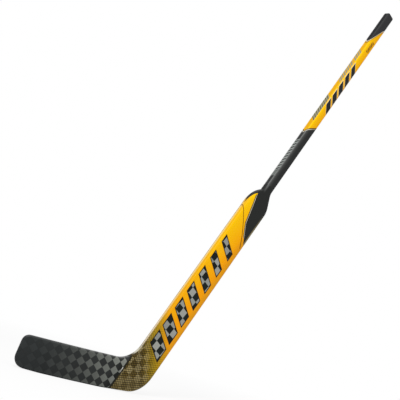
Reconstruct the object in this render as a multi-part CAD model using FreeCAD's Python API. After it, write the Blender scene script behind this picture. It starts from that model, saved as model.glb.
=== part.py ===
import FreeCAD, Part

import math
import os

from FreeCAD import Vector

# Goalie stick, standing as it is played: the sole of the blade on the plane z = 0, the toe
# towards -X, the shaft leaning to +X, and the face that meets the shot towards -Y.
# The origin lies on the flat of the sole, in the middle plane of the paddle.
# "along" runs up the shaft's axis from the sole line, "across" runs square to it towards
# the toe side, and "depth" runs from the front face to the back.
# Lengths are in millimetres and angles in degrees.

# Whole stick
LIE_ANGLE = 66.0
STICK_LENGTH = 1476.0
STICK_THICKNESS = 22.5

# Shaft: a hollow tube that sits on a bonded spigot
SHAFT_WIDTH = 29.0
SHAFT_CORNER_RADIUS = 5.0
SHAFT_WALL = 1.9
SPIGOT_GRIP = 85.0
SPIGOT_DEPTH = 95.0
SPIGOT_CHAMFER = 2.0

# Butt plug: a cap on a ribbed tenon that pulls out of the tube
PLUG_CAP_HEIGHT = 10.0
PLUG_CAP_ROUND = 6.0
PLUG_TENON_LENGTH = 45.0
PLUG_TENON_CHAMFER = 1.5
PLUG_RIB_WIDTH = 2.2
PLUG_RIB_HEIGHT = 0.8
PLUG_RIB_SPACING = 12.0
PLUG_CLEARANCE = 0.1

# Paddle and its shoulder
PADDLE_WIDTH = 86.0
PADDLE_EDGE_RADIUS = 7.0
SHOULDER_TOP = 735.0
SHOULDER_NECK = 20.0
SHOULDER_CREASE_RADIUS = 3.0
SHOULDER_DROP = 31.0
SHOULDER_RADIUS = 97.0
FLARE_LEAD = 13.0
FLARE_HOLLOW_RADIUS = 36.0
FLARE_DROP = 50.0
FLARE_ROUND_RADIUS = 60.0

# Heel and blade, whose sole has a flat between a run that rises to the heel and one to the toe
HEEL_REACH = 170.0
HEEL_RADIUS = 85.0
HEEL_RISE = 5.0
THROAT_RADIUS = 80.0
BLADE_LENGTH = 394.0
BLADE_HEIGHT = 87.0
BLADE_EDGE_RADIUS = 5.0
CURVE_START = 80.0
SOLE_EDGE_RADIUS = 3.0
SOLE_HEEL_RUN = 140.0
SOLE_TOE_RUN = 74.0
SOLE_ROCKER_RADIUS = 500.0
TOE_THICKNESS = 12.0
TOE_SWEEP = 35.0
TOE_SLANT = 10.0
TOE_RISE = 2.5
TOE_TOP_RADIUS = 20.0
TOE_BOTTOM_RADIUS = 28.0
MITRE_OFFSET = 18.0

# Laminate skins and the pieces inside them
SKIN_WALL = 1.6
BOND_LINE = 0.1
SEAM_OFFSET = 0.8
RAIL_WIDTH = 8.0
CENTER_RIB_WIDTH = 4.0
HEEL_BLOCK_RISE = 30.0
SHOULDER_BLOCK_FLOOR = 20.0
SHOULDER_BLOCK_RELIEF = 8.0
BRIDGE_HEIGHT = 6.0
BRIDGE_TENON_LENGTH = 30.0
BRIDGE_TENON_THICKNESS = 10.0
TOE_BLOCK_LENGTH = 30.0

# Limits of the modelling: the most of a wall that its rounding takes, the least rounding,
# the overrun of cutting solids and the distance at which two points count as one
ROUND_SHARE = 0.9
LEAST_ROUND = 0.3
OVERRUN = 60.0
TOLERANCE = 0.001

# Sizes that follow from the ones above
LIE = math.radians(LIE_ANGLE)
ALONG = Vector(math.cos(LIE), 0, math.sin(LIE))
ACROSS = Vector(-math.sin(LIE), 0, math.cos(LIE))
BACKWARD = Vector(0, 1, 0)
HALF_PADDLE = PADDLE_WIDTH / 2
HALF_SHAFT = SHAFT_WIDTH / 2
HALF_THICKNESS = STICK_THICKNESS / 2
TOE_REACH = BLADE_LENGTH - HEEL_REACH
CURVE_RUN = TOE_REACH + CURVE_START
SHAFT_END = STICK_LENGTH - PLUG_CAP_HEIGHT
NECK_FOOT = SHOULDER_TOP - SHOULDER_NECK
FLARE_START = SHOULDER_TOP - FLARE_LEAD
CORE_INSET = SKIN_WALL + BOND_LINE
CORE_HALF_WIDTH = HALF_PADDLE - CORE_INSET
AXIS_FOOT = Vector(HEEL_REACH - HALF_PADDLE / math.sin(LIE), 0, 0)
THROAT_ALONG = (BLADE_HEIGHT - HALF_PADDLE * math.cos(LIE)) / math.sin(LIE)
THROAT_REACH = THROAT_RADIUS * math.tan(LIE / 2)
HEEL_BLOCK_TOP = THROAT_ALONG + THROAT_REACH + HEEL_BLOCK_RISE
SHOULDER_BLOCK_FOOT = SHOULDER_TOP - SPIGOT_DEPTH - SHOULDER_BLOCK_FLOOR
SHOULDER_BLOCK_TOP = NECK_FOOT - SHOULDER_BLOCK_RELIEF
TOE_BLOCK_EDGE = TOE_BLOCK_LENGTH - TOE_REACH
MITRE_EDGE = HALF_PADDLE + MITRE_OFFSET


def axis_point(along, across):
    """Point of the middle plane in the shaft's own directions."""
    return AXIS_FOOT + ALONG * along + ACROSS * across


def axis_box(low_along, high_along, low_across, high_across):
    """Box through the whole thickness, square to the shaft's axis."""
    corners = [axis_point(low_along, low_across), axis_point(high_along, low_across),
               axis_point(high_along, high_across), axis_point(low_along, high_across)]
    return through_solid(corners)


def through_solid(corners):
    """Solid with a front view of straight sides that runs through the whole depth."""
    face = Part.Face(Part.makePolygon(corners + corners[:1]))
    solid = face.extrude(BACKWARD * (4 * OVERRUN))
    solid.translate(BACKWARD * (-2 * OVERRUN))
    return solid


def level_box(low_x, high_x, low_z, high_z):
    """Box through the whole thickness, square to the sole."""
    return through_solid([Vector(low_x, 0, low_z), Vector(high_x, 0, low_z),
                          Vector(high_x, 0, high_z), Vector(low_x, 0, high_z)])


# Front view of the club: paddle, heel and blade

def edge_round(radius, thickness):
    """Rounding of an edge, limited by the wall that carries it."""
    return min(radius, ROUND_SHARE * thickness / 2)


def outline_corners():
    """Corners of the outline, anticlockwise from the heel.

    Each has its place before rounding, its radius in front view, and the rounding of the
    club's edge where that radius starts and ends.
    """
    on_paddle = edge_round(PADDLE_EDGE_RADIUS, STICK_THICKNESS)
    on_shaft = edge_round(SHAFT_CORNER_RADIUS, STICK_THICKNESS)
    on_blade = edge_round(BLADE_EDGE_RADIUS, TOE_THICKNESS)
    on_sole = edge_round(SOLE_EDGE_RADIUS, TOE_THICKNESS)
    heel = Vector(HEEL_REACH + HEEL_RISE / math.tan(LIE), 0, HEEL_RISE)
    toe_top = Vector(TOE_SLANT - TOE_REACH, 0, BLADE_HEIGHT)
    toe_bottom = Vector(-TOE_REACH, 0, TOE_RISE)
    return [
        (heel, HEEL_RADIUS, on_sole, on_paddle),
        (axis_point(FLARE_START - FLARE_DROP, -HALF_PADDLE), FLARE_ROUND_RADIUS, on_paddle, on_paddle),
        (axis_point(FLARE_START, -HALF_SHAFT), FLARE_HOLLOW_RADIUS, on_shaft, on_shaft),
        (axis_point(SHOULDER_TOP, -HALF_SHAFT), 0.0, on_shaft, on_shaft),
        (axis_point(SHOULDER_TOP, HALF_SHAFT), 0.0, on_shaft, on_shaft),
        (axis_point(NECK_FOOT, HALF_SHAFT), SHOULDER_CREASE_RADIUS, on_shaft, on_shaft),
        (axis_point(NECK_FOOT - SHOULDER_DROP, HALF_PADDLE), SHOULDER_RADIUS, on_shaft, on_paddle),
        (axis_point(THROAT_ALONG, HALF_PADDLE), THROAT_RADIUS, on_paddle, on_paddle),
        (toe_top, TOE_TOP_RADIUS, on_blade, on_blade),
        (toe_bottom, TOE_BOTTOM_RADIUS, on_blade, on_sole),
        (Vector(SOLE_TOE_RUN - TOE_REACH, 0, 0), SOLE_ROCKER_RADIUS, on_sole, on_sole),
        (Vector(HEEL_REACH - SOLE_HEEL_RUN, 0, 0), SOLE_ROCKER_RADIUS, on_sole, on_sole),
    ]


def inset_corners(inset):
    """The outline's corners with every side moved inwards: outer rounds shrink, hollow ones grow."""
    corners = outline_corners()
    moved = []
    for index, (point, radius, start_round, end_round) in enumerate(corners):
        before = (point - corners[index - 1][0]).normalize()
        after = (corners[(index + 1) % len(corners)][0] - point).normalize()
        inward_before = Vector(-before.z, 0, before.x)
        inward_after = Vector(-after.z, 0, after.x)
        shift = (inward_before + inward_after) * (inset / (1 + inward_before.dot(inward_after)))
        if radius > 0:
            radius += -inset if inward_before.dot(after) > 0 else inset
        rounds = [max(size - inset, LEAST_ROUND) for size in (start_round, end_round)]
        moved.append((point + shift, radius, rounds[0], rounds[1]))
    return moved


def outline_sides(inset):
    """Sides of the outline in order, each with the edge's rounding at its two ends."""
    corners = inset_corners(inset)
    arcs = []
    for index, (point, radius, start_round, end_round) in enumerate(corners):
        back = (corners[index - 1][0] - point).normalize()
        ahead = (corners[(index + 1) % len(corners)][0] - point).normalize()
        half_angle = back.getAngle(ahead) / 2
        reach = radius / math.tan(half_angle)
        height = radius / math.sin(half_angle) - radius
        middle = point + (back + ahead).normalize() * height
        arcs.append((point + back * reach, middle, point + ahead * reach))
    sides = []
    for index, (point, radius, start_round, end_round) in enumerate(corners):
        start, middle, end = arcs[index]
        following = (index + 1) % len(corners)
        if radius > 0:
            sides.append((Part.Arc(start, middle, end).toShape(), start_round, end_round))
        line = Part.LineSegment(end, arcs[following][0])
        sides.append((line.toShape(), end_round, corners[following][2]))
    return sides


def rounding_at(point, sides):
    """Rounding of the club's edge at a point of its outline, or None away from the outline."""
    flat = Vector(point.x, 0, point.z)
    for side, start_round, end_round in sides:
        if side.distToShape(Part.Vertex(flat))[0] < TOLERANCE:
            first, last = side.ParameterRange
            share = (side.Curve.parameter(flat) - first) / (last - first)
            return start_round + (end_round - start_round) * share
    return None


# Top view of the club: the blade's curve and its taper in thickness

def swept_depth(x, start_depth, toe_depth):
    """Depth at x of a face that is flat as far as the curve's start and then bends in one arc."""
    run = max(CURVE_START - x, 0.0)
    rise = toe_depth - start_depth
    radius = (CURVE_RUN ** 2 + rise ** 2) / (2 * rise)
    return start_depth + radius - math.sqrt(radius ** 2 - run ** 2)


def front_depth(x, inset):
    """Depth of the front face, moved inwards by the inset."""
    return swept_depth(x, inset - HALF_THICKNESS, TOE_SWEEP - TOE_THICKNESS / 2 + inset)


def back_depth(x, inset):
    """Depth of the back face, moved inwards by the inset."""
    return swept_depth(x, HALF_THICKNESS - inset, TOE_SWEEP + TOE_THICKNESS / 2 - inset)


def seam_depth(x, offset):
    """Depth of the middle layer, moved back by the offset."""
    return swept_depth(x, offset, TOE_SWEEP + offset)


def standing_solid(first_depth, first_value, second_depth, second_value):
    """Solid between two such faces, over the whole height of the club."""
    right = axis_point(STICK_LENGTH, 0).x
    left = -TOE_REACH - OVERRUN
    bend = (CURVE_START + left) / 2
    faces = []
    for depth, value in ((first_depth, first_value), (second_depth, second_value)):
        stations = [Vector(x, depth(x, value), -OVERRUN) for x in (right, CURVE_START, bend, left)]
        faces.append(stations)
    edges = []
    for stations in faces:
        edges.append(Part.LineSegment(stations[0], stations[1]).toShape())
        edges.append(Part.Arc(*stations[1:]).toShape())
    for end in (0, -1):
        edges.append(Part.LineSegment(faces[0][end], faces[1][end]).toShape())
    wire = Part.Wire(Part.__sortEdges__(edges))
    return Part.Face(wire).extrude(Vector(0, 0, STICK_LENGTH + 2 * OVERRUN))


def club_body(inset):
    """Paddle, heel and blade in one, with every face moved inwards and the edges rounded."""
    sides = outline_sides(inset)
    plate = Part.Face(Part.Wire([side for side, start_round, end_round in sides]))
    plate = plate.extrude(BACKWARD * (4 * OVERRUN))
    plate.translate(BACKWARD * (-2 * OVERRUN))
    sharp = plate.common(standing_solid(front_depth, inset, back_depth, inset))
    rounds = []
    for number, edge in enumerate(sharp.Edges, start=1):
        first, last = edge.ParameterRange
        middle = edge.valueAt((first + last) / 2)
        faces = [front_depth(middle.x, inset), back_depth(middle.x, inset)]
        on_face = min(abs(middle.y - depth) for depth in faces) < TOLERANCE
        at_joint = abs((middle - AXIS_FOOT).dot(ALONG) - SHOULDER_TOP + inset) < TOLERANCE
        if on_face and not at_joint and rounding_at(middle, sides) is not None:
            ends = [rounding_at(edge.valueAt(value), sides) for value in (first, last)]
            rounds.append((number, ends[0], ends[1]))
    return rounded_solid(sharp, rounds)


def rounded_solid(shape, rounds):
    """Solid with the numbered edges rounded, each from its first radius to its second."""
    document = FreeCAD.newDocument()
    base = document.addObject("Part::Feature", "base")
    base.Shape = shape
    rounding = document.addObject("Part::Fillet", "rounding")
    rounding.Base = base
    rounding.Edges = rounds
    document.recompute()
    solid = rounding.Shape.Solids[0].copy()
    FreeCAD.closeDocument(document.Name)
    return solid


def mitre_side(toe_side):
    """Everything on one side of the mitre between heel and blade, short by half a bond line."""
    if toe_side:
        return axis_box(-STICK_LENGTH, STICK_LENGTH, MITRE_EDGE + BOND_LINE / 2, STICK_LENGTH)
    return axis_box(-STICK_LENGTH, STICK_LENGTH, -STICK_LENGTH, MITRE_EDGE - BOND_LINE / 2)


# Shaft, spigot and plug

def shaft_bar(inset, start, end):
    """Bar with the shaft's section moved inwards, from one place along the axis to another."""
    half_width = HALF_SHAFT - inset
    half_depth = HALF_THICKNESS - inset
    radius = max(edge_round(SHAFT_CORNER_RADIUS, STICK_THICKNESS) - inset, LEAST_ROUND)
    bar = Part.makeBox(2 * half_width, 2 * half_depth, end - start, Vector(-half_width, -half_depth, start))
    upright = [edge for edge in bar.Edges if abs(edge.BoundBox.ZLength - (end - start)) < TOLERANCE]
    bar = bar.makeFillet(radius, upright)
    turn = FreeCAD.Rotation(ACROSS * -1, BACKWARD, ALONG, "XYZ")
    bar.Placement = FreeCAD.Placement(AXIS_FOOT, turn)
    return bar


def rim_edges(bar, along):
    """Edges of a bar's end face at one place along the axis."""
    rim = []
    for edge in bar.Edges:
        heights = [(vertex.Point - AXIS_FOOT).dot(ALONG) for vertex in edge.Vertexes]
        if max(abs(height - along) for height in heights) < TOLERANCE:
            rim.append(edge)
    return rim


def make_shaft_tube():
    """Hollow tube from the shoulder to the plug's cap."""
    start = SHOULDER_TOP + BOND_LINE
    bore = shaft_bar(SHAFT_WALL, start - OVERRUN, SHAFT_END + OVERRUN)
    return shaft_bar(0, start, SHAFT_END).cut(bore)


def make_shaft_spigot():
    """Bar bonded half in the tube and half in the shoulder."""
    foot = SHOULDER_TOP - SPIGOT_DEPTH
    top = SHOULDER_TOP + SPIGOT_GRIP
    bar = shaft_bar(SHAFT_WALL + BOND_LINE, foot, top)
    return bar.makeChamfer(SPIGOT_CHAMFER, rim_edges(bar, foot) + rim_edges(bar, top))


def make_butt_plug():
    """Cap that closes the tube, on a tenon whose ribs slide in the bore."""
    cap = shaft_bar(0, SHAFT_END, STICK_LENGTH)
    cap = cap.makeFillet(PLUG_CAP_ROUND, rim_edges(cap, STICK_LENGTH))
    foot = SHAFT_END - PLUG_TENON_LENGTH
    rib_inset = SHAFT_WALL + PLUG_CLEARANCE
    tenon = shaft_bar(rib_inset + PLUG_RIB_HEIGHT, foot, SHAFT_END)
    sleeve = shaft_bar(rib_inset, foot, SHAFT_END)
    half_rib = PLUG_RIB_WIDTH / 2
    slots = [axis_box(foot, SHAFT_END, place - half_rib, place + half_rib)
             for place in (-PLUG_RIB_SPACING / 2, PLUG_RIB_SPACING / 2)]
    side_slot = Part.makeBox(2 * SHAFT_WIDTH, PLUG_RIB_WIDTH, SHAFT_END, Vector(-SHAFT_WIDTH, -half_rib, 0))
    side_slot.Placement = sleeve.Placement
    for slot in slots + [side_slot]:
        tenon = tenon.fuse(sleeve.common(slot))
    tenon = tenon.removeSplitter()
    tip = shaft_bar(rib_inset, foot - OVERRUN, SHAFT_END)
    tip = tip.makeChamfer(PLUG_TENON_CHAMFER, rim_edges(tip, foot - OVERRUN))
    tip.translate(ALONG * OVERRUN)
    tenon = tenon.common(tip)
    return cap.fuse(tenon).removeSplitter()


# Skins and what they hold

def make_skins():
    """Four laminate skins: front and back of the paddle with its heel, and of the blade."""
    shell = club_body(0.0).cut(club_body(SKIN_WALL))
    shell = shell.cut(shaft_bar(SHAFT_WALL, SHOULDER_TOP - OVERRUN, SHOULDER_TOP + OVERRUN))
    front = standing_solid(seam_depth, SEAM_OFFSET - BOND_LINE / 2, seam_depth, -2 * OVERRUN)
    back = standing_solid(seam_depth, SEAM_OFFSET + BOND_LINE / 2, seam_depth, 2 * OVERRUN)
    skins = {}
    for face, half in (("front", front), ("back", back)):
        halved = shell.common(half)
        skins["paddle_" + face + "_skin"] = halved.common(mitre_side(False))
        skins["blade_" + face + "_skin"] = halved.common(mitre_side(True))
    return skins


def make_paddle_filling(core):
    """Heel block, rails, cores and rib of the paddle, and the forked block round the spigot."""
    socket = shaft_bar(SHAFT_WALL, SHOULDER_TOP - SPIGOT_DEPTH - BOND_LINE, SHOULDER_TOP)
    socket_half = HALF_SHAFT - SHAFT_WALL
    fork = axis_box(SHOULDER_TOP - SPIGOT_DEPTH - BOND_LINE, SHOULDER_TOP, -socket_half, socket_half)
    block = core.common(axis_box(SHOULDER_BLOCK_FOOT, SHOULDER_BLOCK_TOP, -PADDLE_WIDTH, PADDLE_WIDTH))
    low = HEEL_BLOCK_TOP + BOND_LINE
    high = SHOULDER_BLOCK_FOOT - BOND_LINE
    rib_half = CENTER_RIB_WIDTH / 2
    rail_edge = CORE_HALF_WIDTH - RAIL_WIDTH
    heel = core.common(mitre_side(False)).common(
        axis_box(-PADDLE_WIDTH, HEEL_BLOCK_TOP, -PADDLE_WIDTH, 2 * PADDLE_WIDTH))
    bands = {
        "paddle_toe_side_rail": (rail_edge, CORE_HALF_WIDTH),
        "paddle_toe_side_core": (rib_half + BOND_LINE, rail_edge - BOND_LINE),
        "paddle_center_rib": (-rib_half, rib_half),
        "paddle_heel_side_core": (BOND_LINE - rail_edge, -rib_half - BOND_LINE),
        "paddle_heel_side_rail": (-CORE_HALF_WIDTH, -rail_edge),
    }
    filling = {name: core.common(axis_box(low, high, first, last)) for name, (first, last) in bands.items()}
    filling["shoulder_block"] = block.cut(fork).cut(socket)
    filling["heel_block"] = heel.cut(bridge_tenon(BOND_LINE))
    return filling


def bridge_tenon(clearance):
    """Tongue of the blade's bridge that crosses the mitre into the heel block, grown by a clearance."""
    middle = BLADE_HEIGHT / 2
    half_height = BRIDGE_HEIGHT / 2 + clearance
    half_depth = BRIDGE_TENON_THICKNESS / 2 + clearance
    mitre = AXIS_FOOT.x + (middle * math.cos(LIE) - MITRE_EDGE) / math.sin(LIE)
    start = mitre - BRIDGE_TENON_LENGTH
    length = 2 * BRIDGE_TENON_LENGTH + clearance
    corner = Vector(start, -half_depth, middle - half_height)
    return Part.makeBox(length, 2 * half_depth, 2 * half_height, corner)


def make_blade_filling(core):
    """Toe block, two cores and the bridge between them, tongued into the heel block."""
    inside = core.common(mitre_side(True))
    left = -TOE_REACH - OVERRUN
    start = TOE_BLOCK_EDGE + BOND_LINE
    top = BLADE_HEIGHT + THROAT_RADIUS
    bridge_top = (BLADE_HEIGHT + BRIDGE_HEIGHT) / 2
    bridge_foot = (BLADE_HEIGHT - BRIDGE_HEIGHT) / 2
    bridge = inside.common(level_box(start, HEEL_REACH, bridge_foot, bridge_top))
    return {
        "blade_toe_block": inside.common(level_box(left, TOE_BLOCK_EDGE, -OVERRUN, top)),
        "blade_upper_core": inside.common(level_box(start, HEEL_REACH, bridge_top + BOND_LINE, top)),
        "blade_lower_core": inside.common(level_box(start, HEEL_REACH, -OVERRUN, bridge_foot - BOND_LINE)),
        "blade_bridge": bridge.fuse(bridge_tenon(0.0)).removeSplitter(),
    }


def main():
    """Build every piece of the stick and write it under its own name."""
    core = club_body(CORE_INSET)
    pieces = {
        "butt_plug": make_butt_plug(),
        "shaft_tube": make_shaft_tube(),
        "shaft_spigot": make_shaft_spigot(),
    }
    pieces.update(make_skins())
    pieces.update(make_paddle_filling(core))
    pieces.update(make_blade_filling(core))
    os.makedirs("parts", exist_ok=True)
    for name, shape in pieces.items():
        solid = shape.Solids[0]
        print(f"{name}: {len(shape.Solids)} solid, {solid.Volume:.0f} mm3, valid {solid.isValid()}")
        solid.exportStep(f"parts/{name}.step")


main()
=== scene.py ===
import logging
import math
from dataclasses import dataclass, field
from enum import Enum

import bpy
from mathutils import Matrix, Vector

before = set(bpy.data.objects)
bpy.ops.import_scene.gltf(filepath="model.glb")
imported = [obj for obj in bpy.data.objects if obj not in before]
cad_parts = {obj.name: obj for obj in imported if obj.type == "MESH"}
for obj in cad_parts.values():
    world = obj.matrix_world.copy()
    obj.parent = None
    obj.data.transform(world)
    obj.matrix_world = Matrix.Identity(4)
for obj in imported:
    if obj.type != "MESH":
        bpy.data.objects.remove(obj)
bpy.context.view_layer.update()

LOG = logging.getLogger("goalie_stick")
MM = 0.001
HALF = 0.5


# Shader tools


@dataclass(frozen=True)
class Tint:
    """A colour as a screen shows it, each part from 0 to 255."""

    red: float
    green: float
    blue: float

    def linear(self) -> tuple[float, float, float, float]:
        """The colour as light, by the standard curve of screens.

        Returns:
            Red, green and blue from 0 to 1, and full alpha.
        """
        parts = []
        for part in (self.red, self.green, self.blue):
            share = part / 255
            parts.append(share / 12.92 if share <= 0.04045 else ((share + 0.055) / 1.055) ** 2.4)
        return (parts[0], parts[1], parts[2], 1.0)


WHITE = Tint(255, 255, 255)


class Field:
    """A value that changes over a surface, as an output socket of a node graph."""

    def __init__(self, graph: "Graph", socket: bpy.types.NodeSocket) -> None:
        """Wrap an output socket of a graph."""
        self.graph = graph
        self.socket = socket

    def math(self, operation: str, *others: "Field | float", clamp: bool = False) -> "Field":
        """One Math node with this value first; clamp holds the result between 0 and 1."""
        return self.graph.math(operation, self, *others, clamp=clamp)

    def __add__(self, other: "Field | float") -> "Field":
        """Sum."""
        return self.math("ADD", other)

    def __radd__(self, other: float) -> "Field":
        """Sum with a number first."""
        return self.math("ADD", other)

    def __sub__(self, other: "Field | float") -> "Field":
        """Difference."""
        return self.math("SUBTRACT", other)

    def __rsub__(self, other: float) -> "Field":
        """Difference from a number."""
        return self.graph.math("SUBTRACT", other, self)

    def __mul__(self, other: "Field | float") -> "Field":
        """Product."""
        return self.math("MULTIPLY", other)

    def __rmul__(self, other: float) -> "Field":
        """Product with a number first."""
        return self.math("MULTIPLY", other)

    def __truediv__(self, other: "Field | float") -> "Field":
        """Quotient."""
        return self.math("DIVIDE", other)

    def __pow__(self, power: float) -> "Field":
        """Power."""
        return self.math("POWER", power)

    def __abs__(self) -> "Field":
        """Distance from zero."""
        return self.math("ABSOLUTE")

    def least(self, other: "Field | float") -> "Field":
        """The smaller of two values."""
        return self.math("MINIMUM", other)

    def most(self, other: "Field | float") -> "Field":
        """The larger of two values."""
        return self.math("MAXIMUM", other)

    def whole(self) -> "Field":
        """The whole number below."""
        return self.math("FLOOR")

    def nearest(self) -> "Field":
        """The nearest whole number."""
        return self.math("ROUND")

    def held(self) -> "Field":
        """The value, held between 0 and 1."""
        return self.math("ADD", 0.0, clamp=True)

    def swing(self, width: float) -> "Field":
        """A value from 0 to 1 turned into a swing round zero, that wide."""
        return (self - HALF) * width

    def wave(self, length: float) -> "Field":
        """Cosine of the value, with that wavelength."""
        return (self * (2 * math.pi / length)).math("COSINE")

    def off_grid(self, pitch: float) -> "Field":
        """Distance to the nearest multiple of a pitch, as a share of the pitch."""
        return (self / pitch).math("PINGPONG", HALF)

    def above(self, edge: "Field | float", soft: float) -> "Field":
        """1 over an edge and 0 under it, with a soft step of that width."""
        return ((self - edge) * (1 / soft)).math("ADD", HALF, clamp=True)

    def below(self, edge: "Field | float", soft: float) -> "Field":
        """1 under an edge and 0 over it, with a soft step of that width."""
        return 1 - self.above(edge, soft)

    def within(self, low: "Field | float", high: "Field | float", soft: float) -> "Field":
        """1 between two edges and 0 outside them, with soft steps of that width."""
        return self.above(low, soft) * self.below(high, soft)

    def ramp(self, start: float, end: float) -> "Field":
        """Share of the way from one value to another, held between 0 and 1."""
        return (self - start).math("DIVIDE", end - start, clamp=True)


class Graph:
    """Node graph of a material or of the surroundings."""

    def __init__(self, tree: bpy.types.NodeTree) -> None:
        """Start with an empty node tree."""
        self.tree = tree
        self.tree.nodes.clear()

    def node(self, kind: str, settings: dict | None = None,
             inputs: dict | None = None) -> bpy.types.Node:
        """Add a node.

        Args:
            kind: the node's type.
            settings: the node's own properties, set first.
            inputs: values or links by the name or number of the socket.

        Returns:
            The node.
        """
        made = self.tree.nodes.new(kind)
        for name, value in (settings or {}).items():
            setattr(made, name, value)
        for key, value in (inputs or {}).items():
            self.feed(made.inputs[key], value)
        return made

    def feed(self, socket: bpy.types.NodeSocket, value: object) -> None:
        """Give an input socket its value.

        Args:
            socket: the input socket.
            value: a field, an output socket, a tint or a plain value.
        """
        if isinstance(value, Field):
            value = value.socket
        if isinstance(value, bpy.types.NodeSocket):
            self.tree.links.new(value, socket)
        elif isinstance(value, Tint):
            socket.default_value = value.linear()
        else:
            socket.default_value = value

    def field(self, kind: str, output: str, inputs: dict | None = None) -> Field:
        """Add a node and take one of its outputs."""
        return Field(self, self.node(kind, inputs=inputs).outputs[output])

    def math(self, operation: str, *values: Field | float, clamp: bool = False) -> Field:
        """Add one Math node.

        Args:
            operation: the node's operation.
            values: the values in order.
            clamp: whether the result is held between 0 and 1.

        Returns:
            The node's value.
        """
        settings = {"operation": operation, "use_clamp": clamp}
        made = self.node("ShaderNodeMath", settings, dict(enumerate(values)))
        return Field(self, made.outputs["Value"])

    def vector(self, x: Field | float, y: Field | float, z: Field | float) -> bpy.types.NodeSocket:
        """Put three values together in a vector."""
        return self.node("ShaderNodeCombineXYZ", inputs={"X": x, "Y": y, "Z": z}).outputs["Vector"]

    def noise(self, place: bpy.types.NodeSocket, length: float, detail: float = 2.0) -> Field:
        """Cloudy value between 0 and 1, with clouds of that length and a number of finer layers."""
        inputs = {"Vector": place, "Scale": 1 / length, "Detail": detail}
        return self.field("ShaderNodeTexNoise", "Fac", inputs)

    def blend(self, share: Field, under: object, over: object) -> bpy.types.NodeSocket:
        """Lay a share of one colour over another, each a tint or a socket."""
        made = self.node("ShaderNodeMix", {"data_type": "RGBA"}, {0: share, 6: under, 7: over})
        return made.outputs[2]

    def shade(self, colour: object, share: Field) -> bpy.types.NodeSocket:
        """Multiply a colour by a value.

        Args:
            colour: the colour, as a tint or a socket.
            share: the value.

        Returns:
            The darker or lighter colour's socket.
        """
        settings = {"data_type": "RGBA", "blend_type": "MULTIPLY"}
        grey = self.vector(share, share, share)
        return self.node("ShaderNodeMix", settings, {0: 1.0, 6: colour, 7: grey}).outputs[2]

    def shown(self) -> Field:
        """Mask of what the camera sees, also in reflections and through clear things.

        Returns:
            1 for camera, glossy and transmission rays, and 0 for light.
        """
        path = self.node("ShaderNodeLightPath")
        seen = Field(self, path.outputs["Is Camera Ray"])
        for ray in ("Is Glossy Ray", "Is Transmission Ray"):
            seen = seen.most(Field(self, path.outputs[ray]))
        return seen


@dataclass(frozen=True)
class Gloss:
    """Clear coat of a finish and the strength of its fine relief."""

    specular: float = 0.05
    coat: float = 0.1
    coat_roughness: float = 0.25
    relief: float = 0.4


class Paint(Graph):
    """Graph of one material of the stick, on coordinates in millimetres."""

    def __init__(self, name: str) -> None:
        """Start a material with its shader and coordinates.

        Args:
            name: the material's name.
        """
        self.material = bpy.data.materials.new(name)
        self.material.use_nodes = True
        super().__init__(self.material.node_tree)
        self.shader = self.node("ShaderNodeBsdfPrincipled")
        self.node("ShaderNodeOutputMaterial", inputs={"Surface": self.shader.outputs["BSDF"]})
        place = self.node("ShaderNodeTexCoord").outputs["Object"]
        scaled = self.node("ShaderNodeVectorMath", {"operation": "SCALE"}, {0: place, "Scale": 1 / MM})
        self.place = scaled.outputs["Vector"]
        parts = self.node("ShaderNodeSeparateXYZ", inputs={"Vector": self.place})
        self.x, self.y, self.z = (Field(self, parts.outputs[axis]) for axis in "XYZ")

    def finish(self, colour: object, gloss: Gloss, roughness: Field, height: Field,
               coat: Field | None = None) -> bpy.types.Material:
        """Connect the shader.

        Args:
            colour: the base colour.
            gloss: the clear coat and specular level.
            roughness: the roughness under the coat.
            height: the fine relief, in millimetres.
            coat: the weight of the coat where it changes over the surface.

        Returns:
            The finished material.
        """
        relief = {"Strength": gloss.relief, "Distance": MM, "Height": height}
        bump = self.node("ShaderNodeBump", inputs=relief)
        values = {
            "Base Color": colour,
            "Roughness": roughness,
            "Normal": bump.outputs["Normal"],
            "Specular IOR Level": gloss.specular,
            "Coat Weight": coat or gloss.coat,
            "Coat Roughness": gloss.coat_roughness,
        }
        for name, value in values.items():
            self.feed(self.shader.inputs[name], value)
        return self.material


# Masks


@dataclass(frozen=True)
class Edge:
    """Edge of a mask and the width of its soft step."""

    place: float
    soft: float

    def over(self, value: Field) -> Field:
        """1 over the edge and 0 under it."""
        return value.above(self.place, self.soft)

    def under(self, value: Field) -> Field:
        """1 under the edge and 0 over it."""
        return value.below(self.place, self.soft)


@dataclass(frozen=True)
class Span:
    """Stretch between two edges and the width of their soft steps."""

    low: float
    high: float
    soft: float

    def mask(self, value: Field) -> Field:
        """1 inside the stretch and 0 outside it."""
        return value.within(self.low, self.high, self.soft)


@dataclass(frozen=True)
class Ramp:
    """Slow change from 0 at one value to 1 at another."""

    start: float
    end: float

    def share(self, value: Field) -> Field:
        """Share of the way, held between 0 and 1."""
        return value.ramp(self.start, self.end)


@dataclass(frozen=True)
class Swell:
    """Mask that rises over one ramp and falls over another."""

    rise: Ramp
    fall: Ramp

    def mask(self, value: Field) -> Field:
        """1 between the two ramps and 0 outside them."""
        return self.rise.share(value) * self.fall.share(value)


@dataclass(frozen=True)
class Slant:
    """Slanted line on the shaft: one point of it, and how far it falls for each millimetre across."""

    along: float
    across: float
    fall: float

    def at(self, across: Field) -> Field:
        """The line's place up the shaft."""
        return self.along - (across - self.across) * self.fall


@dataclass(frozen=True)
class Dashes:
    """Row of dashes: their pitch, and half of each and its soft edge as shares of the pitch."""

    pitch: float
    half: float
    soft: float

    def mask(self, value: Field) -> Field:
        """1 on the dashes and 0 between them."""
        return value.off_grid(self.pitch).below(self.half, self.soft)


# Finishes


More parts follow.
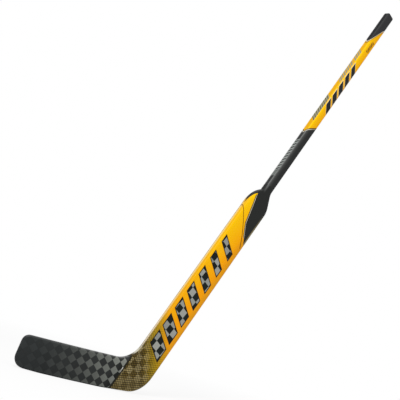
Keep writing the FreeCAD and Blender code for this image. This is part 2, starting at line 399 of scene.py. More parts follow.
@dataclass(frozen=True)
class Axes:
    """The shaft's slope, the place where its axis meets the sole's plane, and half its thickness."""

    lie: float = math.radians(66.0)
    foot: float = 122.93
    half_depth: float = 11.25
    middle: Edge = Edge(0.0, 20.0)


class AxisPaint(Paint):
    """Graph of a material that follows the shaft, with places up it and across it to the toe side."""

    def __init__(self, name: str, axes: Axes) -> None:
        """Start a material and its places on the shaft's axes.

        Args:
            name: the material's name.
            axes: the shaft's axes.
        """
        super().__init__(name)
        self.axes = axes
        reach = self.x - axes.foot
        self.along = reach * math.cos(axes.lie) + self.z * math.sin(axes.lie)
        self.across = self.z * math.cos(axes.lie) - reach * math.sin(axes.lie)

    def wrapped(self, slope: float) -> Field:
        """Place across, carried on with that slope round each edge as far as its middle."""
        side = self.axes.middle.over(self.across) * 2 - 1
        return self.across + side * (self.axes.half_depth - abs(self.y)) * slope

    def unrolled(self) -> tuple[Field, Field]:
        """Places along the blade and up, with each edge laid flat beside the face."""
        beyond = self.wrapped(1.0) - self.across
        return self.x - beyond * math.sin(self.axes.lie), self.z + beyond * math.cos(self.axes.lie)


@dataclass(frozen=True)
class Rows:
    """Rows of a check: the angle they follow each other in, their pitch and the first one's place."""

    angle: float
    pitch: float
    first: float

    def place(self, x: Field, z: Field) -> Field:
        """Place across the rows, counted in rows."""
        turn = math.radians(self.angle)
        return (x * math.cos(turn) + z * math.sin(turn) - self.first) / self.pitch


@dataclass(frozen=True)
class Check:
    lit: Field
    fibres: Field
    gaps: Field
    cell: Field

    def light(self, fibre: float, cell: float) -> Field:
        """How bright the tows are, round 1, with the contrast of their fibres and of their cells."""
        return self.fibres.swing(fibre) + self.cell.swing(cell) + 1.0


@dataclass(frozen=True)
class SpreadTow:
    """Check of flat carbon tows under clear lacquer; every other tow is painted lighter, as painted
    sheen.
    """

    first: Rows
    second: Rows
    edge: float = 0.03
    gap: float = 0.022
    fibre: float = 0.018
    fibre_length: float = 1.2
    waver: float = 0.05
    waver_length: float = 14.0

    def lay(self, paint: Paint, x: Field, z: Field) -> Check:
        """Draw the check.

        Args:
            paint: the material's graph.
            x: the place along the blade.
            z: the place up.

        Returns:
            The tows that catch the light, the fibres' streaks, the gaps and a value for each cell.
        """
        waver = paint.noise(paint.place, self.waver_length).swing(self.waver)
        first = self.first.place(x, z) + waver
        second = self.second.place(x, z) - waver
        corner = first.off_grid(1.0) + second.off_grid(1.0)
        lit = corner.below(HALF, self.edge)
        gaps = abs(corner - HALF).below(self.gap, self.gap)
        rising, falling = first + second, first - second
        streaks = []
        for over, along in ((falling, rising), (rising, falling)):
            strand = paint.vector(over / self.fibre, along / self.fibre_length, 0.0)
            streaks.append(paint.noise(strand, 1.0))
        fibres = streaks[1] + (streaks[0] - streaks[1]) * lit
        number = paint.vector(rising.nearest(), falling.nearest(), 0.0)
        cell = paint.field("ShaderNodeTexWhiteNoise", "Value", {"Vector": number})
        return Check(lit, fibres, gaps, cell)


BLADE_TOW = SpreadTow(Rows(3.5, 26.9, 6.8), Rows(88.0, 25.7, 1.2))
PADDLE_TOW = SpreadTow(Rows(106.0, 28.5, 1.5), Rows(196.0, 28.5, -5.0))


@dataclass(frozen=True)
class BladeFinish:
    axes: Axes = Axes()
    gloss: Gloss = Gloss()
    dark_heel: Tint = Tint(45, 47, 46)
    dark_toe: Tint = Tint(41, 44, 44)
    dark_mitre: Tint = Tint(18, 20, 18)
    lit_heel: Tint = Tint(136, 139, 132)
    lit_toe: Tint = Tint(47, 50, 50)
    edge: Tint = Tint(22, 23, 24)
    glint: Tint = Tint(222, 222, 214)
    fade: Ramp = Ramp(-190.0, 95.0)
    fade_power: float = 2.0
    fibre_light: float = 0.5
    cell_light: float = 0.22
    low_light: float = 0.78
    rise: Ramp = Ramp(0.0, 87.0)
    mitre: float = 61.0
    mitre_shade: Ramp = Ramp(92.0, 62.0)
    mitre_joint_and_shade: Edge = Edge(2.0, 1.2)
    sole: Edge = Edge(2.5, 1.5)
    gap_share: float = 0.4
    glint_rise: Ramp = Ramp(22.0, 42.0)
    glint_end: Edge = Edge(42.0, 1.0)
    glint_tip: Edge = Edge(0.05, 0.05)
    glint_width: float = 2.6
    glint_soft: float = 0.2
    roughness: float = 0.34
    fibre_roughness: float = 0.2
    gap_roughness: float = 0.1
    fibre_relief: float = 0.05
    gap_relief: float = 0.08
    top: Edge = Edge(83.0, 1.0)
    top_coat: float = 0.5

    def make(self) -> bpy.types.Material:
        """Build the material.

        Returns:
            The blade's material.
        """
        paint = AxisPaint("spread_tow_blade", self.axes)
        check = BLADE_TOW.lay(paint, paint.x, paint.z)
        # painted sheen: the lighter tows fade from bright at the heel to dark at the toe
        fade = self.fade.share(paint.x)
        lit = paint.blend(fade ** self.fade_power, self.lit_toe, self.lit_heel)
        dark = paint.blend(fade, self.dark_toe, self.dark_heel)
        dark = paint.blend(self.mitre_shade.share(paint.across), dark, self.dark_mitre)
        colour = paint.blend(check.lit, dark, lit)
        # painted shade: the check darkens towards the sole
        light = self.low_light + (1 - self.low_light) * self.rise.share(paint.z)
        colour = paint.shade(colour, check.light(self.fibre_light, self.cell_light) * light)
        seam = paint.across - self.mitre
        # dark joint line at the mitre, widened into painted shade beside it; bare black along the sole;
        # dark gaps between tows
        border = self.mitre_joint_and_shade.under(seam).most(self.sole.under(paint.z))
        colour = paint.blend(border.most(check.gaps * self.gap_share), colour, self.edge)
        # painted highlight: a pale glint wedge along the mitre
        wedge = self.glint_rise.share(paint.along) * self.glint_end.under(paint.along)
        glint = (seam / self.glint_width).below(wedge, self.glint_soft) * self.glint_tip.over(wedge)
        colour = paint.blend(glint, colour, self.glint)
        rough = self.roughness + check.fibres.swing(self.fibre_roughness)
        rough = rough + check.gaps * self.gap_roughness
        relief = check.fibres * self.fibre_relief - check.gaps * self.gap_relief
        coat = self.gloss.coat + self.top.over(paint.z) * self.top_coat
        return paint.finish(colour, self.gloss, rough, relief, coat)


@dataclass(frozen=True)
class Bars:
    """Row of slanted bars that narrow up the stick."""

    start: float
    pitch: float
    count: int
    widest: float
    narrowing: float
    slant: float
    low: float
    high: float
    soft: float = 0.6
    step: float = 0.1

    def masks(self, along: Field, across: Field, border: float) -> tuple[Field, Field]:
        """Draw the bars.

        Args:
            along: the place up the shaft.
            across: the place across it.
            border: the width of the outline.

        Returns:
            The mask of the bars with their outline and the mask inside it.
        """
        place = along - across * self.slant - self.start
        number = (place / self.pitch).whole()
        middle = abs(place - number * self.pitch - self.pitch * HALF)
        half = (self.widest - number * self.narrowing) * HALF
        row = number.within(-HALF, self.count - HALF, self.step)
        masks = []
        for inset in (0.0, border):
            sides = middle.below(half - inset, self.soft)
            ends = across.within(self.low + inset, self.high - inset, self.soft)
            masks.append(sides * ends * row)
        return masks[0], masks[1]


@dataclass(frozen=True)
class PaddleFinish:
    """Golden lacquer with a black shoulder, which thins out in dots over the carbon at the heel."""

    axes: Axes = Axes()
    gloss: Gloss = Gloss(coat=0.05)
    wrap_slope: float = 0.83
    roughness: float = 0.36
    peel: float = 2.5
    peel_roughness: float = 0.12
    fibre_roughness: float = 0.15
    relief: float = 0.05

    gold: Tint = Tint(253, 200, 2)
    amber: Tint = Tint(247, 160, 2)
    heel_orange: Tint = Tint(212, 146, 24)
    cloud: float = 60.0
    cloud_share: float = 0.2
    ground_along: float = 260.0
    ground_rise: float = 0.0014
    ground_turn: float = 0.012
    low_turn: Ramp = Ramp(28.0, 42.0)
    low_share: float = 0.4
    heel_orange_turn: Ramp = Ramp(-16.0, -36.0)
    heel_orange_share: float = 0.8

    shaded_edge_gold: Tint = Tint(236, 180, 2)
    shaded_edge_amber: Tint = Tint(227, 158, 2)
    edge_highlight_pale: Tint = Tint(250, 226, 160)
    edge_highlight_light: Tint = Tint(252, 236, 212)
    glint: Tint = Tint(226, 223, 206)
    back_edge: Tint = Tint(140, 108, 50)
    toe_edge: Edge = Edge(36.0, 1.0)
    gold_rise: Ramp = Ramp(240.0, 520.0)
    edge_turn: Ramp = Ramp(36.0, 42.0)
    hem: Span = Span(4.6, 9.6, 1.0)
    hem_rise: Ramp = Ramp(190.0, 290.0)
    side: Edge = Edge(4.6, 1.2)
    side_coat: float = 0.4
    edge_depth: Ramp = Ramp(-2.5, 3.0)
    edge_length: Span = Span(124.0, 640.0, 20.0)
    edge_fade: Ramp = Ramp(900.0, 500.0)
    edge_highlight_share: float = 0.8
    light_fade: Ramp = Ramp(260.0, 190.0)
    glint_depth: Swell = Swell(Ramp(-4.5, 0.5), Ramp(9.0, 3.0))
    glint_length: Swell = Swell(Ramp(87.0, 97.0), Ramp(134.0, 104.0))
    glint_share: float = 0.85

    bars: Bars = Bars(120.0, 58.0, 7, 46.0, 3.0, 0.45, -24.0, 36.0)
    bar_border: float = 3.2
    bar_fibres: float = 0.6
    bar_cells: float = 0.3
    tow_dark: Tint = Tint(20, 26, 24)
    tow_lit: Tint = Tint(148, 150, 144)
    outline: Tint = Tint(14, 13, 20)

    pinstripe: Tint = Tint(112, 64, 0)
    stripe_along: float = 580.0
    stripe_across: float = 2.0
    stripe_slope: float = 0.83
    stripe_curve: float = 0.0029
    stripe: Edge = Edge(1.6, 0.5)
    stripe_length: Span = Span(528.0, 640.0, 2.0)

    black: Tint = Tint(37, 38, 37)
    pale: Tint = Tint(232, 220, 188)
    neck_highlight_grey: Tint = Tint(104, 106, 104)
    panel_edge: Tint = Tint(132, 120, 86)
    kink_along: float = 596.0
    kink_across: float = 1.1
    panel_slope: float = 0.29
    panel_curve: float = 0.000002
    low_slope: float = 0.71
    panel_step: Edge = Edge(0.0, 0.5)
    panel_low: Edge = Edge(545.0, 4.0)
    rim: float = 1.5
    border: float = 3.2
    rim_soft: float = 0.4
    rim_length: Span = Span(560.0, 682.0, 4.0)
    band_rise: Ramp = Ramp(640.0, 690.0)
    band_low: Edge = Edge(640.0, 1.0)
    band_high: Edge = Edge(690.0, 1.0)
    band_side: Edge = Edge(14.0, 1.0)
    band_step: Edge = Edge(0.0, 0.6)
    neck: Span = Span(10.5, 16.5, 3.0)
    neck_depth: Edge = Edge(6.0, 2.0)
    neck_rise: Ramp = Ramp(704.0, 732.0)
    neck_highlight_share: float = 0.6
    pale_heel_edge: Edge = Edge(-34.5, 3.0)
    pale_heel_edge_fade: Ramp = Ramp(660.0, 590.0)

    heel_dark: Tint = Tint(65, 53, 19)
    heel_lit: Tint = Tint(111, 99, 66)
    olive: Tint = Tint(94, 82, 18)
    mustard: Tint = Tint(216, 164, 8)
    dot_rows: Rows = Rows(6.0, 5.9, 0.0)
    dot_columns: Rows = Rows(96.0, 5.9, 0.0)
    least_dot: float = 0.36
    dot_growth: float = 0.2
    dot_soft: float = 0.12
    dot_light: float = 2.15
    gap_light: float = 0.45
    heel_fibres: float = 0.5
    heel_cells: float = 0.25
    mean_check: float = 0.45
    low_check: float = 0.4
    high_check: float = 0.95
    check_rise: Ramp = Ramp(36.0, 46.0)
    fade: Ramp = Ramp(62.0, 200.0)
    fade_power: float = 1.85
    fade_contrast: float = 0.8
    olive_fade: Ramp = Ramp(0.05, 0.45)
    mustard_fade: Ramp = Ramp(0.55, 0.95)

    trim: Tint = Tint(36, 33, 20)
    print_edge: Edge = Edge(56.2, 0.8)
    sole: Edge = Edge(2.5, 1.5)
    trim_end: Edge = Edge(90.0, 4.0)

    def make(self) -> bpy.types.Material:
        """Build the material.

        Returns:
            The paddle's material.
        """
        paint = AxisPaint("golden_paddle", self.axes)
        wrap = paint.wrapped(self.wrap_slope)
        check = PADDLE_TOW.lay(paint, *paint.unrolled())
        colour = self.golden(paint)
        colour, carbon = self.dotted(paint, wrap, check, colour)
        colour = self.painted_edge_highlight(paint, colour)
        colour = self.barred(paint, check, colour)
        colour, black = self.shoulder(paint, wrap, colour)
        trim = self.print_edge.over(paint.across).most(self.sole.under(paint.z))
        trim = trim * self.trim_end.under(paint.along)
        colour = paint.blend(trim, colour, self.trim)
        peel = paint.noise(paint.place, self.peel)
        streaks = carbon * check.fibres.swing(self.fibre_roughness)
        rough = self.roughness + peel.swing(self.peel_roughness) + streaks
        side = self.side.under(abs(paint.y)) * (1 - black.most(carbon))
        coat = self.gloss.coat + side * self.side_coat
        relief = (peel + carbon * check.fibres) * self.relief
        return paint.finish(colour, self.gloss, rough, relief, coat)

    def golden(self, paint: AxisPaint) -> bpy.types.NodeSocket:
        """Ground colour, lighter to the shoulder and the toe side; painted shade on the rounded toe edge.

        Args:
            paint: the material's graph.

        Returns:
            The colour.
        """
        cloud = paint.noise(paint.place, self.cloud).swing(self.cloud_share)
        rise = self.gold_rise.share(paint.along)
        share = (paint.along - self.ground_along) * self.ground_rise
        share = share + paint.across * self.ground_turn + cloud
        share = share - self.low_turn.share(paint.across) * (1 - rise) * self.low_share
        colour = paint.blend(share.held(), self.amber, self.gold)
        # darker orange towards the heel-side edge
        colour = paint.blend(self.heel_orange_turn.share(paint.across) * self.heel_orange_share, colour, self.heel_orange)
        # painted shade: a darker gold on the rounded toe-side edge, more amber low on the paddle
        tone = paint.blend(rise, self.shaded_edge_amber, self.shaded_edge_gold)
        colour = paint.blend(self.edge_turn.share(paint.across), colour, tone)
        hem = self.toe_edge.over(paint.across) * self.hem.mask(paint.y)
        hem = hem * self.hem_rise.share(paint.along)
        return paint.blend(hem, colour, self.back_edge)

    def painted_edge_highlight(self, paint: AxisPaint, colour: bpy.types.NodeSocket) -> bpy.types.NodeSocket:
        """Painted highlight along the toe-side edge, a pale line, lightest as a painted glint in the
        corner over the blade.

        Args:
            paint: the material's graph.
            colour: the colour underneath.

        Returns:
            The colour with the painted highlight.
        """
        face = self.toe_edge.over(paint.across)
        # painted highlight: pale line on the toe-side face
        edge = face * self.edge_depth.share(paint.y) * self.side.under(paint.y)
        edge = edge * self.edge_length.mask(paint.along) * self.edge_fade.share(paint.along)
        tone = paint.blend(self.light_fade.share(paint.along), self.edge_highlight_pale, self.edge_highlight_light)
        colour = paint.blend(edge * self.edge_highlight_share, colour, tone)
        # painted glint in the corner over the blade
        glint = face * self.glint_depth.mask(paint.y) * self.glint_length.mask(paint.along)
        return paint.blend(glint * self.glint_share, colour, self.glint)

    def barred(self, paint: AxisPaint, check: Check,
               colour: bpy.types.NodeSocket) -> bpy.types.NodeSocket:
        """Slanted windows onto the carbon, each with a dark outline.

        Args:
            paint: the material's graph.
            colour: the colour underneath.

        Returns:
            The colour with the bars.
        """
        outer, inner = self.bars.masks(paint.along, paint.across, self.bar_border)
        # the lighter tows are painted sheen
        tows = paint.blend(check.lit, self.tow_dark, self.tow_lit)
        carbon = paint.shade(tows, check.light(self.bar_fibres, self.bar_cells))
        colour = paint.blend(outer, colour, self.outline)
        return paint.blend(inner, colour, carbon)

    def shoulder(self, paint: AxisPaint, wrap: Field,
                 colour: bpy.types.NodeSocket) -> tuple[bpy.types.NodeSocket, Field]:
        """Pinstripe, black shoulder panel with its pale and dark outline, and black upper edge.

        Args:
            paint: the material's graph.
            wrap: the place across the shaft, carried round its edges.
            colour: the colour underneath.

        Returns:
            The colour with the shoulder's design and the mask of its black.
        """
        rise = paint.along - self.stripe_along
        line = rise * self.stripe_slope + rise * rise * self.stripe_curve + self.stripe_across
        stripe = self.stripe.under(abs(wrap - line)) * self.stripe_length.mask(paint.along)
        colour = paint.blend(stripe, colour, self.pinstripe)
        rise = paint.along - self.kink_along
        line = rise * self.panel_slope + rise * rise * rise * self.panel_curve
        panel = line.least(rise * self.low_slope) + self.kink_across - paint.across
        reach = self.rim_length.mask(paint.along)
        for width, tint in ((self.rim + self.border, self.outline), (self.rim, self.pale)):
            colour = paint.blend(panel.within(-width, 0.0, self.rim_soft) * reach, colour, tint)
        band = self.band_rise.share(paint.along) * self.axes.half_depth - abs(paint.y)
        band = self.band_step.over(band) * self.band_side.over(paint.across)
        band = band * self.band_low.over(paint.along)
        black = self.panel_step.over(panel).most(self.band_high.over(paint.along)).most(band)
        black = black * self.panel_low.over(paint.along)
        # painted highlight: grey on the neck's toe-side corner, carrying the shaft's corner highlight
        # down
        neck = self.neck.mask(paint.across) * self.neck_depth.over(abs(paint.y))
        neck = neck * self.neck_rise.share(paint.along)
        ground = paint.blend(neck * self.neck_highlight_share, self.black, self.neck_highlight_grey)
        # lighter brown-grey along the panel's heel-side edge, fading out towards the shaft
        pale_heel_edge = self.pale_heel_edge.under(paint.across) * self.pale_heel_edge_fade.share(paint.along)
        ground = paint.blend(pale_heel_edge, ground, self.panel_edge)
        return paint.blend(black, colour, ground), black

    def dotted(self, paint: AxisPaint, wrap: Field, check: Check,
               colour: bpy.types.NodeSocket) -> tuple[bpy.types.NodeSocket, Field]:
        """Thin the colour out in dots over the carbon towards the heel.

        Args:
            paint: the material's graph.
            wrap: the place across the shaft, carried round its edges.
            colour: the colour underneath.

        Returns:
            The colour with the dots and the share of the carbon in it.
        """
        share = self.fade.share(paint.along - wrap)
        flat = paint.unrolled()
        first, second = (rows.place(*flat).off_grid(1.0) for rows in (self.dot_rows, self.dot_columns))
        reach = (first * first + second * second) ** HALF
        radius = self.least_dot + share * self.dot_growth
        dot = reach.below(radius, self.dot_soft)
        light = check.light(self.heel_fibres, self.heel_cells)
        light = light * (self.gap_light + dot * (self.dot_light - self.gap_light))
        strength = self.low_check + self.check_rise.share(paint.z) * (self.high_check - self.low_check)
        tows = self.mean_check + (check.lit - self.mean_check) * strength
        # the lighter tows are painted sheen
        carbon = paint.blend(tows, self.heel_dark, self.heel_lit)
        carbon = paint.shade(paint.blend(self.olive_fade.share(share), carbon, self.olive), light)
        printed = paint.blend(self.mustard_fade.share(share), self.mustard, colour)
        swing = (dot - radius * radius * math.pi) * share * (1 - share) * self.fade_contrast
        ink = (share ** self.fade_power + swing).held()
        return paint.blend(ink, carbon, printed), 1 - ink


@dataclass(frozen=True)
class ShaftFinish:
    """Black shaft with a golden length, outlined at its slanted ends, and marks on the toe side."""

    axes: Axes = Axes()
    gloss: Gloss = Gloss(relief=0.5)
    wrap_slope: float = 0.6
    facet: Edge = Edge(13.9, 0.6)
    corner_depth: Span = Span(5.2, 8.8, 0.8)
    corner_across: Edge = Edge(13.0, 0.6)
    twill: float = 3.2
    grain: float = 0.8
    roughness: float = 0.38
    weave_roughness: float = 0.08
    grain_roughness: float = 0.1
    grip_roughness: float = 0.2
    weave_relief: float = 0.05
    grain_relief: float = 0.02
    grip_relief: float = 0.1
    black_corner: float = 0.95
    gold_corner: float = 0.2
    grip_corner: float = 0.15
    gold_dulling: float = 0.7

    pale: Tint = Tint(232, 226, 206)
    umber: Tint = Tint(62, 48, 26)
    low_end: Slant = Slant(970.3, 4.8, 0.93)
    low_turn: float = 1.6
    high_end: Slant = Slant(1388.2, 0.0, 2.6)
    high_toe_side: Slant = Slant(1350.5, 14.5, 1.4)
    high_heel_side: Slant = Slant(1405.0, -5.0, 1.07)
    end: Edge = Edge(0.0, 0.8)
    low_border: Span = Span(-2.0, 2.4, 0.6)
    high_border: Span = Span(-0.4, 8.0, 2.0)
    high_border_share: float = 0.5
    border_share: float = 0.95
    low_rim: Span = Span(-4.6, -2.0, 0.6)
    high_rim: Span = Span(-3.6, 0.4, 1.2)
    high_rim_share: float = 0.75
    rim_turn: Ramp = Ramp(-2.0, 7.0)
    least_rim: float = 0.45
    rim_share: float = 0.85

    gold: Tint = Tint(253, 197, 2)
    amber: Tint = Tint(235, 162, 3)
    shaded_facet_gold: Tint = Tint(224, 167, 2)
    silver: Tint = Tint(148, 144, 116)
    slate: Tint = Tint(84, 80, 50)
    brown: Tint = Tint(134, 88, 20)
    gold_turn: Ramp = Ramp(-14.0, 13.0)
    bars: Bars = Bars(1050.0, 38.5, 5, 30.0, 0.6, 1.1, -12.4, 11.6)
    bar_border: float = 0.9
    ticks: Dashes = Dashes(11.0, 0.34, 0.08)
    low_mark: Span = Span(1004.0, 1101.0, 1.0)
    high_marks: tuple[Span, ...] = (Span(1166.0, 1252.0, 1.0), Span(1262.0, 1302.0, 1.0))
    dashes: Dashes = Dashes(11.0, 0.36, 0.06)
    dash_length: Span = Span(1308.0, 1352.0, 1.0)
    dash_width: Span = Span(-6.5, 3.5, 0.6)

    black: Tint = Tint(38, 39, 39)
    grey: Tint = Tint(70, 71, 70)
    shaded_facet_black: Tint = Tint(45, 46, 46)
    corner_highlight_grey: Tint = Tint(112, 114, 112)
    ash: Tint = Tint(142, 147, 143)
    sheen_turn: Ramp = Ramp(1.0, 13.0)
    sheen_power: float = 1.5
    toe_half: Edge = Edge(0.0, 1.0)
    corner_highlight_share: float = 0.6
    weave_light: float = 0.4
    ash_slope: float = 0.5
    ash_length: Span = Span(793.0, 916.0, 1.0)
    ash_dashes: Dashes = Dashes(12.2, 0.27, 0.08)
    ash_patch: Span = Span(771.0, 791.0, 3.0)
    ash_patch_share: float = 0.45
    ash_depth: Edge = Edge(7.0, 1.0)

    grip: Tint = Tint(51, 51, 53)
    shaded_facet_grip: Tint = Tint(38, 38, 40)
    grip_highlight_share: float = 0.1
    grip_light: float = 0.6

    def make(self) -> bpy.types.Material:
        """Build the material.

        Returns:
            The shaft's material.
        """
        paint = AxisPaint("golden_and_black_shaft", self.axes)
        wrap = paint.wrapped(self.wrap_slope)
        toe_side = self.facet.over(paint.across)
        lower = paint.along - self.low_end.at(paint.across) + (wrap - paint.across) * self.low_turn
        upper = self.high_end.at(wrap).most(self.high_toe_side.at(wrap))
        upper = upper.least(self.high_heel_side.at(wrap)) - paint.along
        weave = self.weave(paint)
        grain = paint.noise(paint.place, self.grain)
        golden = self.golden(paint, toe_side)
        corner = self.corner_depth.mask(abs(paint.y)) * self.corner_across.over(abs(paint.across))
        carbon = self.carbon(paint, toe_side, corner, weave)
        # painted shade on the toe-side face
        grip = paint.blend(toe_side, self.grip, self.shaded_facet_grip)
        # faint painted highlight along the butt's rounded corners
        grip = paint.blend(corner * self.grip_highlight_share, grip, self.corner_highlight_grey)
        grip = paint.shade(grip, grain.swing(self.grip_light) + 1.0)
        butt = self.end.under(upper)
        gold = self.end.over(lower) * (1 - butt)
        colour = paint.blend(gold, paint.blend(butt, carbon, grip), golden)
        colour = self.outlined(paint, lower, upper, colour)
        rough = self.roughness + weave.swing(self.weave_roughness) + grain.swing(self.grain_roughness)
        rough = rough + butt * self.grip_roughness
        shine = self.black_corner + gold * (self.gold_corner - self.black_corner)
        shine = shine + butt * (self.grip_corner - self.black_corner)
        coat = self.gloss.coat * (1 - butt.most(gold * self.gold_dulling)) + corner * shine
        relief = weave * self.weave_relief + grain * (self.grain_relief + butt * self.grip_relief)
        return paint.finish(colour, self.gloss, rough, relief, coat)

    def outlined(self, paint: AxisPaint, lower: Field, upper: Field,
                 colour: bpy.types.NodeSocket) -> bpy.types.NodeSocket:
        """Dark and pale outlines of the golden length's two ends.

        Args:
            paint: the material's graph.
            lower: the distance up from the golden length's lower end.
            upper: the distance down from its upper end.
            colour: the colour underneath.

        Returns:
            The colour with the outlines.
        """
        borders = self.high_border.mask(upper) * self.high_border_share
        borders = self.low_border.mask(lower).most(borders)
        colour = paint.blend(borders * self.border_share, colour, self.umber)
        # the pale rims are print, fuller towards the toe-side corner where they carry a painted highlight
        share = self.rim_turn.share(paint.across) * (1 - self.least_rim) + self.least_rim
        rims = self.low_rim.mask(lower) * share
        rims = rims.most(self.high_rim.mask(upper) * self.high_rim_share)
        return paint.blend(rims * self.rim_share, colour, self.pale)

    def golden(self, paint: AxisPaint, toe_side: Field) -> bpy.types.NodeSocket:
        """Golden length with its slanted bars, and silver marks on the toe side.

        Args:
            paint: the material's graph.
            toe_side: the mask of the toe-side face.

        Returns:
            The colour.
        """
        colour = paint.blend(self.gold_turn.share(paint.across), self.amber, self.gold)
        # painted shade on the toe-side face
        colour = paint.blend(toe_side, colour, self.shaded_facet_gold)
        slanted = paint.along - paint.y
        low_mark = self.low_mark.mask(slanted)
        colour = paint.blend(toe_side * low_mark, colour, self.slate)
        marks = low_mark
        for span in self.high_marks:
            marks = marks.most(span.mask(slanted))
        colour = paint.blend(toe_side * self.ticks.mask(slanted) * marks, colour, self.silver)
        dashes = self.dash_length.mask(paint.along) * self.dash_width.mask(paint.across)
        dashes = dashes * self.dashes.mask(paint.along - paint.across * self.bars.slant)
        colour = paint.blend(dashes, colour, self.brown)
        outer, inner = self.bars.masks(paint.along, paint.across, self.bar_border)
        colour = paint.blend(outer, colour, self.pale)
        return paint.blend(inner, colour, self.black)

    def carbon(self, paint: AxisPaint, toe_side: Field, corner: Field,
               weave: Field) -> bpy.types.NodeSocket:
        """Black length, greyed towards the toe-side corner by painted sheen, with silver dashes on the
        toe side.

        Args:
            paint: the material's graph.
            toe_side: the mask of the toe-side face.
            corner: the mask of the rounded corners.
            weave: the relief of the laminate.

        Returns:
            The colour.
        """
        # painted sheen: lighter grey towards the toe-side corner
        turn = self.sheen_turn.share(paint.across) ** self.sheen_power
        colour = paint.blend(turn, self.black, self.grey)
        # painted shade on the toe-side face
        colour = paint.blend(toe_side, colour, self.shaded_facet_black)
        # painted highlight along the toe-side corners
        toe_corner = corner * self.toe_half.over(paint.across)
        colour = paint.blend(toe_corner * self.corner_highlight_share, colour, self.corner_highlight_grey)
        colour = paint.shade(colour, weave.swing(self.weave_light) + 1.0)
        slanted = paint.along + paint.y * self.ash_slope
        dashes = self.ash_length.mask(slanted) * self.ash_dashes.mask(slanted)
        dashes = dashes.most(self.ash_patch.mask(paint.along) * self.ash_patch_share)
        return paint.blend(toe_side * dashes * self.ash_depth.under(abs(paint.y)), colour, self.ash)

    def weave(self, paint: AxisPaint) -> Field:
        """Fine twill of the laminate, as a relief from 0 to 1."""
        turn = paint.across + paint.y
        return HALF + (paint.along + turn).wave(self.twill) * (paint.along - turn).wave(self.twill) * HALF


@dataclass(frozen=True)
class PlainFinish:
    """Finish of one colour with clouds and a grain: moulded rubber, raw laminate or foam."""

    name: str
    colour: Tint
    cloud_colour: Tint
    cloud: float
    grain: float
    roughness: float
    gloss: Gloss
    grain_layers: float = 3.0
    grain_roughness: float = 0.2
    grain_relief: float = 0.1

    def make(self) -> bpy.types.Material:
        """Build the material.

        Returns:
            The material.
        """
        paint = Paint(self.name)
        clouds = paint.noise(paint.place, self.cloud)
        grain = paint.noise(paint.place, self.grain, self.grain_layers)
        colour = paint.blend(clouds, self.colour, self.cloud_colour)
        rough = self.roughness + grain.swing(self.grain_roughness)
        return paint.finish(colour, self.gloss, rough, grain * self.grain_relief)


class Finish(Enum):
    """The finishes of the stick's pieces."""

    PADDLE = PaddleFinish()
    BLADE = BladeFinish()
    SHAFT = ShaftFinish()
    RUBBER = PlainFinish("moulded_rubber", Tint(26, 27, 28), Tint(38, 39, 41), 6.0, 0.7, 0.55,
                         Gloss(specular=0.25, coat=0.0))
    LAMINATE = PlainFinish("raw_laminate", Tint(28, 29, 30), Tint(44, 45, 47), 9.0, 0.6, 0.5,
                           Gloss(specular=0.3, coat=0.0))
    LIGHT_FOAM = PlainFinish("light_foam", Tint(236, 230, 210), Tint(224, 216, 192), 14.0, 1.2, 0.9,
                             Gloss(specular=0.1, coat=0.0))
    DENSE_FOAM = PlainFinish("dense_foam", Tint(208, 188, 142), Tint(192, 170, 122), 10.0, 0.8, 0.85,
                             Gloss(specular=0.1, coat=0.0))


# Sub-assemblies


@dataclass
class SubAssembly:
    """Group of the stick's pieces and the finish of each."""

    title: str
    finishes: dict[str, Finish] = field(default_factory=dict)

    def dress(self, made: dict[Finish, bpy.types.Material]) -> list[str]:
        """Give each piece its material.

        Args:
            made: the materials by finish, which this adds to.

        Returns:
            The names of the pieces.
        """
        for name, finish in self.finishes.items():
            if finish not in made:
                made[finish] = finish.value.make()
            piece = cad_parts[name]
            piece.data.materials.clear()
            piece.data.materials.append(made[finish])
        return list(self.finishes)


@dataclass
class Shaft(SubAssembly):
    """Tube, spigot and butt plug."""

    title: str = "shaft"
    finishes: dict[str, Finish] = field(default_factory=lambda: {
        "shaft_tube": Finish.SHAFT,
        "shaft_spigot": Finish.LAMINATE,
        "butt_plug": Finish.RUBBER,
    })


@dataclass
class Paddle(SubAssembly):
    """Skins of the paddle and what they hold."""

    title: str = "paddle"
    finishes: dict[str, Finish] = field(default_factory=lambda: {
        "paddle_front_skin": Finish.PADDLE,
        "paddle_back_skin": Finish.PADDLE,
        "shoulder_block": Finish.DENSE_FOAM,
        "heel_block": Finish.DENSE_FOAM,
        "paddle_toe_side_rail": Finish.LAMINATE,
        "paddle_heel_side_rail": Finish.LAMINATE,
        "paddle_center_rib": Finish.LAMINATE,
        "paddle_toe_side_core": Finish.LIGHT_FOAM,
        "paddle_heel_side_core": Finish.LIGHT_FOAM,
    })


@dataclass
class Blade(SubAssembly):
    """Skins of the blade and what they hold."""

    title: str = "blade"
    finishes: dict[str, Finish] = field(default_factory=lambda: {
        "blade_front_skin": Finish.BLADE,
        "blade_back_skin": Finish.BLADE,
        "blade_toe_block": Finish.DENSE_FOAM,
        "blade_bridge": Finish.LAMINATE,
        "blade_upper_core": Finish.LIGHT_FOAM,
        "blade_lower_core": Finish.LIGHT_FOAM,
    })


# Studio


@dataclass(frozen=True)
class Lamp:
    """Soft rectangular lamp that looks at a point of the stick."""

    name: str
    place: tuple[float, float, float]
    target: tuple[float, float, float]
    width: float
    height: float
    power: float

    def build(self) -> None:
        """Add the lamp."""
        bpy.ops.object.light_add(type="AREA", location=self.place)
        lamp = bpy.context.object
        lamp.name = self.name
        aim = Vector(self.target) - Vector(self.place)
        lamp.rotation_euler = aim.to_track_quat("-Z", "Y").to_euler()
        lamp.data.shape = "RECTANGLE"
        lamp.data.size = self.width
        lamp.data.size_y = self.height
        lamp.data.energy = self.power


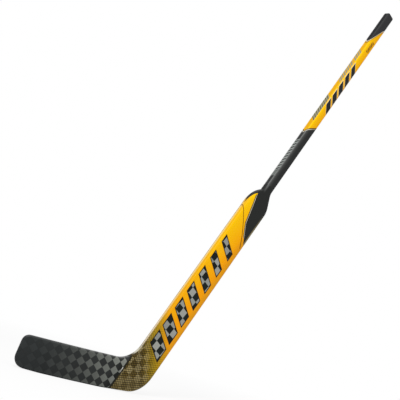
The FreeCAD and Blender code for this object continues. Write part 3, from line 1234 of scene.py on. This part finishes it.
@dataclass
class Studio:
    """White floor, soft lamp, pale surroundings and the camera."""

    floor_size: float = 60.0
    floor_tint: Tint = Tint(244, 244, 244)
    floor_glow: float = 0.86
    shadow: Ramp = Ramp(0.7, 1.6)
    light: float = 0.56
    lamp: Lamp = Lamp("key_lamp", (-1.29, -1.38, 2.72), (0.4, 0.0, 0.65), 0.8, 2.0, 60.0)
    yaw: float = -39.6721
    rise: float = -6.1363
    roll: float = 16.6244
    distance: float = 2706.4588
    focal_pixels: float = 968.2382
    aim: tuple[float, float, float] = (181.1532, -1.0, 560.2036)
    image_width: float = 400.0
    sensor: float = 36.0

    def build(self) -> None:
        """Build the whole studio."""
        bpy.context.scene.view_settings.view_transform = "Standard"
        self.build_floor()
        self.build_surroundings()
        self.lamp.build()
        self.build_camera()

    def build_floor(self) -> None:
        """Lay the floor, white to the camera and in reflections but for the stick's faint shadow."""
        bpy.ops.object.select_all(action="DESELECT")
        bpy.ops.mesh.primitive_plane_add(size=self.floor_size, location=(0.0, 0.0, 0.0))
        floor = bpy.context.object
        floor.name = "floor"
        material = bpy.data.materials.new("white_floor")
        material.use_nodes = True
        graph = Graph(material.node_tree)
        place = graph.node("ShaderNodeTexCoord").outputs["Object"]
        far = graph.node("ShaderNodeVectorMath", {"operation": "LENGTH"}, {0: place}).outputs["Value"]
        open_floor = self.shadow.share(Field(graph, far))
        glow = graph.shown() * (self.floor_glow + (1 - self.floor_glow) * open_floor)
        matte = graph.node("ShaderNodeBsdfDiffuse", inputs={"Color": self.floor_tint})
        white = graph.node("ShaderNodeEmission")
        inputs = {0: glow, 1: matte.outputs["BSDF"], 2: white.outputs["Emission"]}
        mixed = graph.node("ShaderNodeMixShader", inputs=inputs)
        graph.node("ShaderNodeOutputMaterial", inputs={"Surface": mixed.outputs["Shader"]})
        floor.data.materials.append(material)

    def build_surroundings(self) -> None:
        """Set the surroundings: white to the camera and in reflections, softer as light."""
        world = bpy.data.worlds.new("surroundings")
        bpy.context.scene.world = world
        world.use_nodes = True
        graph = Graph(world.node_tree)
        level = self.light + (1 - self.light) * graph.shown()
        white = graph.node("ShaderNodeBackground", inputs={"Color": WHITE, "Strength": level})
        graph.node("ShaderNodeOutputWorld", inputs={"Surface": white.outputs["Background"]})

    def build_camera(self) -> None:
        """Set the camera at the photograph's place, turn and focal length."""
        yaw, rise, roll = (math.radians(angle) for angle in (self.yaw, self.rise, self.roll))
        back = Vector((math.sin(yaw) * math.cos(rise), -math.cos(yaw) * math.cos(rise), math.sin(rise)))
        right = Vector((math.cos(yaw), math.sin(yaw), 0.0))
        up = back.cross(right)
        side = right * math.cos(roll) + up * math.sin(roll)
        top = up * math.cos(roll) - right * math.sin(roll)
        spot = (Vector(self.aim) + back * self.distance) * MM
        bpy.ops.object.camera_add()
        camera = bpy.context.object
        camera.name = "photo_camera"
        turn = Matrix((side, top, back)).transposed()
        camera.matrix_world = Matrix.Translation(spot) @ turn.to_4x4()
        camera.data.sensor_width = self.sensor
        camera.data.lens = self.focal_pixels / self.image_width * self.sensor
        bpy.context.scene.camera = camera


def main() -> None:
    """Dress the stick, group by group, and set up the studio round it."""
    logging.basicConfig(level=logging.INFO, format="%(name)s: %(message)s")
    made: dict[Finish, bpy.types.Material] = {}
    for group in (Shaft(), Paddle(), Blade()):
        for name in group.dress(made):
            LOG.info("%s: %s dressed", group.title, name)
    Studio().build()
    LOG.info("studio built")


if __name__ == "__main__":
    main()
